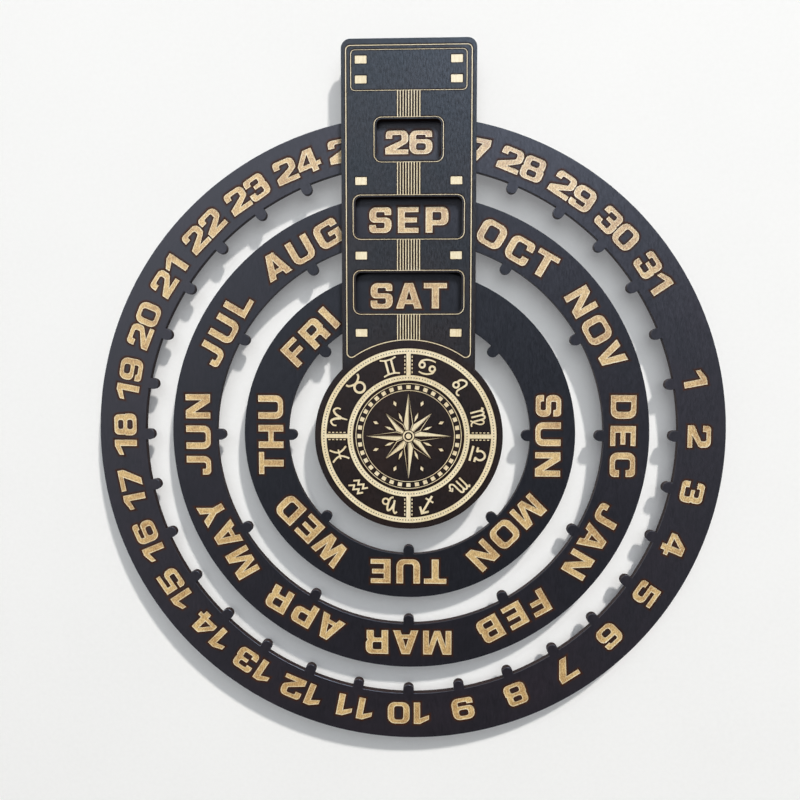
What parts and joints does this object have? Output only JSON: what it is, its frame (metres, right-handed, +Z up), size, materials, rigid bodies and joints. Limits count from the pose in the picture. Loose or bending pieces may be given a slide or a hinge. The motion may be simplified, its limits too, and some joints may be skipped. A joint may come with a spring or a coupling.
{
  "type": "perpetual wall calendar",
  "caption": "Wall calendar of black plywood: rings of dates, months and weekdays turn behind the windows of a tower with a round zodiac disc at its foot.",
  "frame": {"origin": "centre of the keyhole's round end, at the back face of the back plate", "axes": "+Y towards the wall, so the front faces -Y; +Z up; +X to the right as seen from the front"},
  "size_m": [0.35, 0.0178, 0.389],
  "materials": {
    "black_ply": "matt black paint on birch plywood",
    "bare_ply": "bare birch plywood",
    "zinc_steel": "zinc plated",
    "rubber": "matt"
  },
  "bodies": {
    "tower": {"front_plate": "black_ply", "back_plate": "black_ply", "top_spacer": "bare_ply", "date_saddle": "bare_ply", "month_saddle": "bare_ply", "weekday_saddle": "bare_ply", "disc_spacer": "bare_ply", "top_screws": "zinc_steel", "date_saddle_screws": "zinc_steel", "month_saddle_screws": "zinc_steel", "weekday_saddle_screws": "zinc_steel", "disc_screws": "zinc_steel", "top_left_bumper": "rubber", "top_right_bumper": "rubber", "disc_left_bumper": "rubber", "disc_right_bumper": "rubber"},
    "date_ring": {"date_ring": "black_ply"},
    "month_ring": {"month_ring": "black_ply"},
    "weekday_ring": {"weekday_ring": "black_ply"}
  },
  "joints": [
    {"name": "date_ring_turn", "type": "hinge", "parent": "tower", "child": "date_ring", "pos_m": [0, -0.0064, -0.19], "axis": [0, -1, 0], "continuous": true},
    {"name": "month_ring_turn", "type": "hinge", "parent": "tower", "child": "month_ring", "pos_m": [0, -0.0064, -0.19], "axis": [0, -1, 0], "continuous": true},
    {"name": "weekday_ring_turn", "type": "hinge", "parent": "tower", "child": "weekday_ring", "pos_m": [0, -0.0064, -0.19], "axis": [0, -1, 0], "continuous": true}
  ]
}
